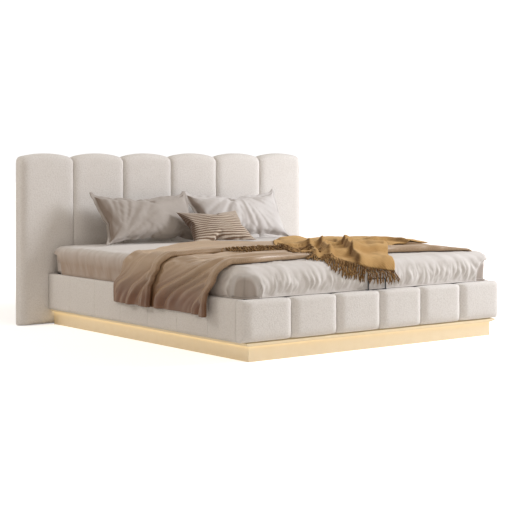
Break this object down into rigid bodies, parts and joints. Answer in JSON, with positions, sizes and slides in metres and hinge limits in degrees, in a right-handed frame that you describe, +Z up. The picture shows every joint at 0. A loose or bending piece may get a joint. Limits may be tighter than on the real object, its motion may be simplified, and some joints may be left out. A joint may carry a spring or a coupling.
{
  "type": "upholstered ottoman bed",
  "caption": "Low platform bed with a channelled padded headboard and footboard, lit recessed plinth, bedding, and a mattress platform that lifts on swing arms over the storage space.",
  "frame": {"origin": "on the floor under the middle of the bed's outer box", "axes": "+Z up, +Y from the foot end towards the headboard, +X to the right as seen from the foot end"},
  "size_m": [2.2698, 2.2, 1.09],
  "materials": {
    "off_white_boucle": "off-white woven upholstery over foam",
    "birch_plywood": "plain plywood",
    "black_dust_cover": "black lining cloth",
    "cream_plinth_paint": "cream painted board",
    "light_strip_diffuser": "milky light strip",
    "grey_storage_board": "grey faced board",
    "zinc_plated_steel": "zinc plated",
    "black_powder_coat": "black powder coat",
    "beech_slats": "lacquered beech",
    "black_nylon": "black nylon",
    "chromed_rod": "hard chromed",
    "pale_grey_fitted_sheet": "cotton sheet",
    "grey_beige_pillowcase": "cotton pillowcase",
    "brown_striped_knit": "fine striped knit",
    "taupe_sateen": "sateen with a soft sheen",
    "mustard_wool": "woven wool"
  },
  "bodies": {
    "bed_frame": {"centre_beam": "birch_plywood", "corner_bracket_foot_left": "zinc_plated_steel", "corner_bracket_foot_right": "zinc_plated_steel", "corner_bracket_head_left": "zinc_plated_steel", "corner_bracket_head_right": "zinc_plated_steel", "footboard_board": "birch_plywood", "footboard_channel_1": "off_white_boucle", "footboard_channel_2": "off_white_boucle", "footboard_channel_3": "off_white_boucle", "footboard_channel_4": "off_white_boucle", "footboard_channel_5": "off_white_boucle", "footboard_channel_6": "off_white_boucle", "headboard_back_cover": "black_dust_cover", "headboard_board": "birch_plywood", "headboard_channel_1": "off_white_boucle", "headboard_channel_2": "off_white_boucle", "headboard_channel_3": "off_white_boucle", "headboard_channel_4": "off_white_boucle", "headboard_channel_5": "off_white_boucle", "headboard_channel_6": "off_white_boucle", "lift_base_left": "black_powder_coat", "lift_base_right": "black_powder_coat", "light_strip": "light_strip_diffuser", "platform_rest_left": "black_nylon", "platform_rest_right": "black_nylon", "plinth_foot": "cream_plinth_paint", "plinth_left": "cream_plinth_paint", "plinth_right": "cream_plinth_paint", "roller_track_left": "black_powder_coat", "roller_track_right": "black_powder_coat", "side_rail_board_left": "birch_plywood", "side_rail_board_right": "birch_plywood", "side_rail_pad_left": "off_white_boucle", "side_rail_pad_right": "off_white_boucle", "storage_floor_left": "grey_storage_board", "storage_floor_right": "grey_storage_board", "strut_pin_left": "zinc_plated_steel", "strut_pin_right": "zinc_plated_steel"},
    "platform": {"platform_side_tube_left": "black_powder_coat", "platform_side_tube_right": "black_powder_coat", "platform_head_tube": "black_powder_coat", "platform_foot_tube": "black_powder_coat", "slat_deck": "beech_slats", "mattress_stop": "black_powder_coat", "mattress": "pale_grey_fitted_sheet", "pillow_left": "grey_beige_pillowcase", "pillow_right": "grey_beige_pillowcase", "lumbar_cushion": "brown_striped_knit", "blanket": "taupe_sateen", "throw": "mustard_wool"},
    "swing_arm_left": {"swing_arm_left": "black_powder_coat"},
    "strut_cylinder_left": {"strut_cylinder_left": "black_powder_coat"},
    "strut_rod_left": {"strut_rod_left": "chromed_rod"},
    "track_roller_left": {"track_roller_left": "black_nylon"},
    "swing_arm_right": {"swing_arm_right": "black_powder_coat"},
    "strut_cylinder_right": {"strut_cylinder_right": "black_powder_coat"},
    "strut_rod_right": {"strut_rod_right": "chromed_rod"},
    "track_roller_right": {"track_roller_right": "black_nylon"}
  },
  "joints": [
    {"name": "platform_lift", "type": "hinge", "parent": "swing_arm_left", "child": "platform", "pos_m": [-0.8825, 0.6097, 0.3097], "axis": [-1, 0, 0], "range_deg": [0, 70]},
    {"name": "arm_turn_left", "type": "hinge", "parent": "bed_frame", "child": "swing_arm_left", "pos_m": [-0.8825, 0.25, 0.1347], "axis": [1, 0, 0], "range_deg": [0, 35]},
    {"name": "cylinder_turn_left", "type": "hinge", "parent": "bed_frame", "child": "strut_cylinder_left", "pos_m": [-0.8925, 0.458, 0.1347], "axis": [1, 0, 0], "range_deg": [0, 17.5]},
    {"name": "rod_turn_left", "type": "hinge", "parent": "swing_arm_left", "child": "strut_rod_left", "pos_m": [-0.8925, 0.354, 0.31483], "axis": [-1, 0, 0], "range_deg": [0, 17.5]},
    {"name": "roller_spin_left", "type": "hinge", "parent": "platform", "child": "track_roller_left", "pos_m": [-0.899, 0.9694, 0.1347], "axis": [1, 0, 0], "continuous": true},
    {"name": "arm_turn_right", "type": "hinge", "parent": "bed_frame", "child": "swing_arm_right", "pos_m": [0.8825, 0.25, 0.1347], "axis": [1, 0, 0], "range_deg": [0, 35]},
    {"name": "cylinder_turn_right", "type": "hinge", "parent": "bed_frame", "child": "strut_cylinder_right", "pos_m": [0.8925, 0.458, 0.1347], "axis": [1, 0, 0], "range_deg": [0, 17.5]},
    {"name": "rod_turn_right", "type": "hinge", "parent": "swing_arm_right", "child": "strut_rod_right", "pos_m": [0.8925, 0.354, 0.31483], "axis": [-1, 0, 0], "range_deg": [0, 17.5]},
    {"name": "roller_spin_right", "type": "hinge", "parent": "platform", "child": "track_roller_right", "pos_m": [0.899, 0.9694, 0.1347], "axis": [1, 0, 0], "continuous": true}
  ],
  "couplings": [
    {"joint": "arm_turn_left", "follows": "platform_lift", "ratio": 0.5},
    {"joint": "cylinder_turn_left", "follows": "platform_lift", "ratio": 0.25},
    {"joint": "rod_turn_left", "follows": "platform_lift", "ratio": 0.25},
    {"joint": "arm_turn_right", "follows": "platform_lift", "ratio": 0.5},
    {"joint": "cylinder_turn_right", "follows": "platform_lift", "ratio": 0.25},
    {"joint": "rod_turn_right", "follows": "platform_lift", "ratio": 0.25}
  ]
}
